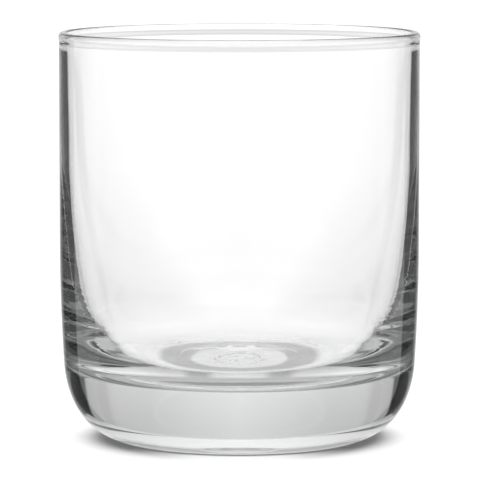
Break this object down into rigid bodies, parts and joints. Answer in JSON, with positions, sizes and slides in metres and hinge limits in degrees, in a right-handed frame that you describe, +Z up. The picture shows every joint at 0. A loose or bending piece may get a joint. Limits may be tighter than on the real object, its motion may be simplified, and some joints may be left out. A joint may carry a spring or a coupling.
{
  "type": "whiskey tumbler",
  "caption": "Straight-sided clear glass whiskey tumbler with a thick solid base, a nearly flat inside floor, a rounded foot and a very shallow punt underneath.",
  "frame": {"origin": "centre of the flat ring that the glass stands on, at table level", "axes": "+Z up along the glass's axis towards the lip; the glass is round, so +X and +Y are any two square directions"},
  "size_m": [0.0842, 0.0842, 0.095],
  "materials": {
    "clear_glass": "fire-polished, clear and colourless"
  },
  "bodies": {
    "root": {"glass": "clear_glass"}
  },
  "joints": []
}
